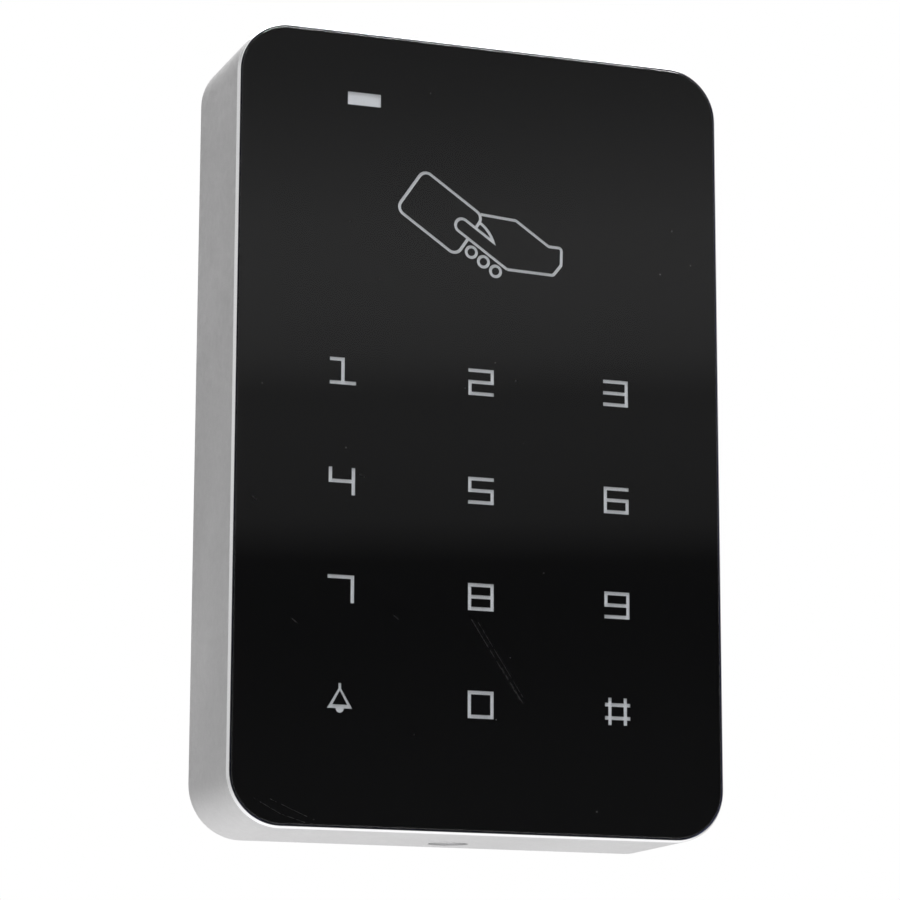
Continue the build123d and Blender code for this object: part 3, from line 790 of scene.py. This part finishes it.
def make_security_screw():
    """Screw with a pin in its hexagon socket, driven from below."""
    low, high = sides("security_screw")
    length = high[2] - low[2]
    profile = [
        (0.3, 0.12),
        (0.4, 0.2),
        (0.4, 1.1),
        (1.0, 1.1, hexagon),
        (1.0, 0.12, hexagon),
        (1.12, 0.0, hexagon),
        (1.75, 0.0),
        (2.35, 0.0),
        (2.58, 0.12),
        (2.7, 0.4),
        (2.7, 1.62),
        (2.62, 1.69),
        (1.5, 1.69),
        (1.48, 1.75),
        (1.48, 3.4),
        *thread(1.48, 1.2, 3.5, length - 0.7, 0.5),
        (1.2, length - 0.6),
        (0.85, length),
    ]
    place = ((low[0] + high[0]) / 2, -(low[1] + high[1]) / 2, low[2])
    mesh = turned(profile, place, (0, 0, 1))
    finish_piece("pin_hex_screw", mesh, [screw_steel], "security_screw")


def make_washer():
    """Flat washer with eased edges, held under the screw's head."""
    low, high = sides("screw_washer")
    thick = high[2] - low[2]
    profile = [
        (1.6, 0.06),
        (1.66, 0),
        (2.52, 0),
        (2.6, 0.08),
        (2.6, thick - 0.08),
        (2.52, thick),
        (1.66, thick),
        (1.6, thick - 0.06),
    ]
    place = (0, -(low[1] + high[1]) / 2, low[2])
    mesh = turned(profile, place, (0, 0, 1), closed=True)
    finish_piece("retaining_washer", mesh, [nylon_clear], "screw_washer")


def make_clinch_nut():
    """Nut with a knurled collar pressed into the bracket's tab, and a threaded bore."""
    low, high = sides("clinch_nut")
    height = high[2] - low[2]
    bore = [
        (1.53 * (1 + 0.05 * (step % 2)), height - 0.15 - (height - 0.3) * step / 12)
        for step in range(13)
    ]
    profile = [
        (1.6, 0.0),
        (2.02, 0.0),
        (2.1, 0.08, knurl),
        (2.1, 1.49, knurl),
        (2.78, 1.5),
        (2.8, 1.56),
        (2.8, height - 0.2),
        (2.6, height),
        (1.7, height),
        *bore,
    ]
    place = (0, -(low[1] + high[1]) / 2, low[2])
    mesh = turned(profile, place, (0, 0, 1), closed=True, sides_round=72)
    finish_piece("knurled_nut", mesh, [screw_steel], "clinch_nut")


def screw_set(name, node, places, profile):
    """Several equal screws in one piece, all driven forwards from the back of the reader."""
    low, high = sides(node)
    mesh = bmesh.new()
    for x, z in places:
        one = turned(profile(high[1] - low[1]), (x, -low[1], z), (0, -1, 0))
        data = bpy.data.meshes.new("one_screw")
        one.to_mesh(data)
        one.free()
        mesh.from_mesh(data)
        bpy.data.meshes.remove(data)
    finish_piece(name, mesh, [screw_steel], node)


def countersunk(length):
    """Profile of a countersunk screw with a cross recess."""
    return [
        (0.25, 0.95),
        (0.55, 0.85, cross),
        (1.3, 0.15, cross),
        (1.4, 0.0, cross),
        (1.9, 0.0),
        (2.34, 0.0),
        (2.4, 0.1),
        (1.2, 1.2),
        *thread(1.2, 0.85, 1.4, length - 1.0, 0.9),
        (0.8, length - 0.9),
        (0.12, length),
    ]


def pan_headed(length):
    """Profile of a pan-headed screw with a cross recess."""
    return [
        (0.2, 1.0),
        (0.4, 0.9, cross),
        (1.0, 0.3, cross),
        (1.08, 0.12, cross),
        (1.45, 0.06),
        (1.75, 0.3),
        (1.9, 0.7),
        (1.9, 1.35),
        (1.85, 1.4),
        (1.0, 1.4),
        *thread(1.0, 0.7, 1.6, length - 0.8, 0.8),
        (0.65, length - 0.7),
        (0.1, length),
    ]


make_security_screw()
make_washer()
make_clinch_nut()
screw_set("cover_screws", "rear_cover_screws", corners(*COVER_SCREWS), countersunk)
screw_set("board_screw_set", "board_screws", corners(32.9, 34.0), pan_headed)


# ---------------------------------------------------------------- behind the glass

KEYS = [(x, z) for z in (7.55, -8.95, -24.91, -40.87) for x in (-21.68, 0.0, 21.68)]


def make_springs():
    """One wound touch spring behind each key, with closed end turns."""
    low, high = sides("touch_springs")
    mesh = bmesh.new()
    turns, per_turn, radius, gauge = 7, 20, 2.7, 0.19
    for x, z in KEYS:
        path = []
        for step in range(turns * per_turn + 1):
            share = step / (turns * per_turn)
            rise = min(1, max(0, (share - 0.1) / 0.8))
            turn = 2 * pi * turns * share
            depth = low[1] + gauge + (high[1] - low[1] - 2 * gauge) * rise
            path.append((x + radius * cos(turn), -depth, z + radius * sin(turn)))
        wire(mesh, path, gauge)
    finish_piece("wound_springs", mesh, [spring_wire], "touch_springs")


def make_coil():
    """Flat reader coil wound from enamelled wire, layer on layer."""
    low, high = sides("antenna_coil")
    width, height = high[0] - low[0], high[2] - low[2]
    middle = (0, (low[2] + high[2]) / 2)
    mesh = bmesh.new()
    across, deep, gauge = 6, 5, 0.21
    for column in range(across):
        inset = gauge + 0.434 * column
        outline = rounded_outline(width - 2 * inset, height - 2 * inset, 6.0 - inset, middle, 8)
        for layer in range(deep):
            depth = low[1] + gauge + (high[1] - low[1] - 2 * gauge) * layer / (deep - 1)
            path = [(x, -depth, z) for x, z in outline]
            wire(mesh, path, gauge, closed=True, sides_round=6)
    finish_piece("wound_coil", mesh, [copper], "antenna_coil")


def chip_parts(node, lead_length):
    """Chooses the body's or the leads' finish for each face of a chip."""
    low, high = sides(node)

    def choose(at, normal):
        outside = at[0] < low[0] + lead_length or at[0] > high[0] - lead_length
        return int(outside)

    return choose


make_springs()
make_coil()
for chip in ("controller_chip", "reader_chip", "touch_chip", "regulator"):
    eased(chip, [chip_black, tin], 0.08, chip_parts(chip, 0.95))
eased("main_board", [board_green], 0.1)
eased("light_box", [box_white], 0.1)
eased("key_leds", [lamp_body, lamp_resin], 0.1, lambda at, normal: int(normal.y < -0.9))
eased("status_led", [lamp_body, lamp_resin], 0.15, lambda at, normal: int(normal.y < -0.9))
eased("indicator_light_pipe", [clear_guide], 0.1)
eased("crystal", [can_metal], 0.25)
eased("capacitors", [sleeve, can_metal], 0.4, lambda at, normal: int(normal.y > 0.9))
eased("buzzer", [buzzer_black], 0.35)
eased("tamper_sensor", [sensor_resin], 0.2)


# ---------------------------------------------------------------- back of the reader

eased("rear_cover", [cover_black], 0.15)
eased("cover_seal", [seal_black], 0.08)
eased("wall_bracket", [zinc], 0.12)
eased("wiring_header", [nylon_white], 0.12)
eased("header_pins", [tin], 0.14)


# ---------------------------------------------------------------- floor, light and camera


def make_floor():
    """A plain pale floor, well below the reader, which hangs on its wall."""
    mesh = bmesh.new()
    span, level = 6.0, -0.75
    bmesh.ops.create_grid(mesh, x_segments=8, y_segments=8, size=span)
    bmesh.ops.translate(mesh, verts=mesh.verts[:], vec=(0, 0, level))
    data = bpy.data.meshes.new("pale_floor")
    mesh.to_mesh(data)
    mesh.free()
    floor = bpy.data.objects.new("pale_floor", data)
    bpy.context.scene.collection.objects.link(floor)
    data.materials.append(grained("floor_paper", (0.7, 0.7, 0.7), 0.8, 900, 0.05, 0.02, 0.05))


# Brightness of the room at each rise in degrees, by the side it is on
FRONT_RIGHT = [
    (-20, 0.3),
    (0, 0.14),
    (6, 0.105),
    (8.6, 0.075),
    (9.8, 0.07),
    (10.6, 0.26),
    (12.0, 0.29),
    (12.6, 0.27),
    (13.2, 0.46),
    (14.2, 0.55),
    (15.3, 0.57),
    (18, 0.3),
    (25, 0.35),
    (40, 0.9),
]
FRONT = [(-60, 1.0), (-15, 0.75), (0, 0.55), (15, 0.65), (35, 1.15), (60, 1.2)]
BEHIND = [(-70, 0.6), (-30, 0.4), (-8, 0.4), (4, 0.36), (14, 0.27), (30, 0.33), (60, 0.8)]
BESIDE = [(-70, 0.9), (-30, 0.6), (0, 0.62), (30, 0.7), (60, 0.9)]


def make_studio():
    """White backdrop and a soft room of light.

    Its sides are bright. Its front is darker, with two steps that show in the glass.
    """
    world = bpy.data.worlds.new("studio")
    world.use_nodes = True
    bpy.context.scene.world = world
    tree = world.node_tree
    away = place_node(tree, "ShaderNodeTexCoord").outputs["Generated"]
    parts = place_node(tree, "ShaderNodeSeparateXYZ", {0: away}).outputs
    rise = calc(tree, "MULTIPLY", calc(tree, "ARCSINE", parts[2]), 180 / pi)
    share = calc(tree, "ADD", calc(tree, "DIVIDE", rise, 180.0), 0.5)

    def sweep(levels):
        """Brightness against elevation in degrees."""
        return ramp(tree, share, [((e + 90) / 180, b) for e, b in levels])

    window = sweep(FRONT_RIGHT)
    front = sweep(FRONT)
    behind = sweep(BEHIND)
    beside = sweep(BESIDE)

    def soft(value, start, end):
        made = place_node(
            tree,
            "ShaderNodeMapRange",
            {"Value": value, "From Min": start, "From Max": end},
            interpolation_type="SMOOTHSTEP",
        )
        return made.outputs["Result"]

    ahead = soft(parts[1], 0.2, -0.3)
    around = mix_colours(tree, ahead, behind, front)
    aside = soft(calc(tree, "ABSOLUTE", parts[0]), 0.62, 0.92)
    around = mix_colours(tree, aside, around, beside)
    heading = calc(
        tree,
        "MULTIPLY",
        calc(tree, "ARCTAN2", parts[0], calc(tree, "MULTIPLY", parts[1], -1.0)),
        180 / pi,
    )
    in_window = calc(
        tree,
        "MULTIPLY",
        calc(tree, "MULTIPLY", soft(heading, -12.0, 10.0), soft(heading, 52.0, 30.0)),
        calc(tree, "MULTIPLY", soft(rise, -20.0, -4.0), soft(rise, 40.0, 22.0)),
    )
    around = mix_colours(tree, in_window, around, window)
    seen = place_node(tree, "ShaderNodeLightPath").outputs["Is Camera Ray"]
    colour = mix_colours(tree, seen, around, (1, 1, 1, 1))
    tree.links.new(colour, tree.nodes["Background"].inputs["Color"])



def aim_camera():
    """A long lens from the reader's left, a little below its middle."""
    data = bpy.data.cameras.new("camera")
    data.sensor_width = 36.0
    data.lens = 136.39
    data.shift_x, data.shift_y = 0.00266, -0.00497
    data.clip_start, data.clip_end = 0.01, 50.0
    data.dof.use_dof = False
    camera = bpy.data.objects.new("camera", data)
    bpy.context.scene.collection.objects.link(camera)
    right = Vector((0.94155, -0.33685, 0.00333))
    up = Vector((-0.07197, -0.19151, 0.97885))
    forward = Vector((0.32909, 0.92188, 0.20456))
    turn = Matrix((right, up, -forward)).transposed().to_4x4()
    camera.matrix_world = Matrix.Translation(Vector((-171.61, -486.17, -105.85)) * MM) @ turn
    bpy.context.scene.camera = camera


def hang_soft_box():
    """A large soft box over the reader, which lights the floor and the top of the housing."""
    data = bpy.data.lights.new("soft_box", "AREA")
    data.shape = "SQUARE"
    data.size = 1.0
    data.energy = 24.0
    lamp = bpy.data.objects.new("soft_box", data)
    bpy.context.scene.collection.objects.link(lamp)
    lamp.location = (0.1, 0.1, 1.0)


make_floor()
make_studio()
hang_soft_box()
aim_camera()
bpy.context.scene.view_settings.view_transform = "Standard"

bpy.context.view_layer.update()
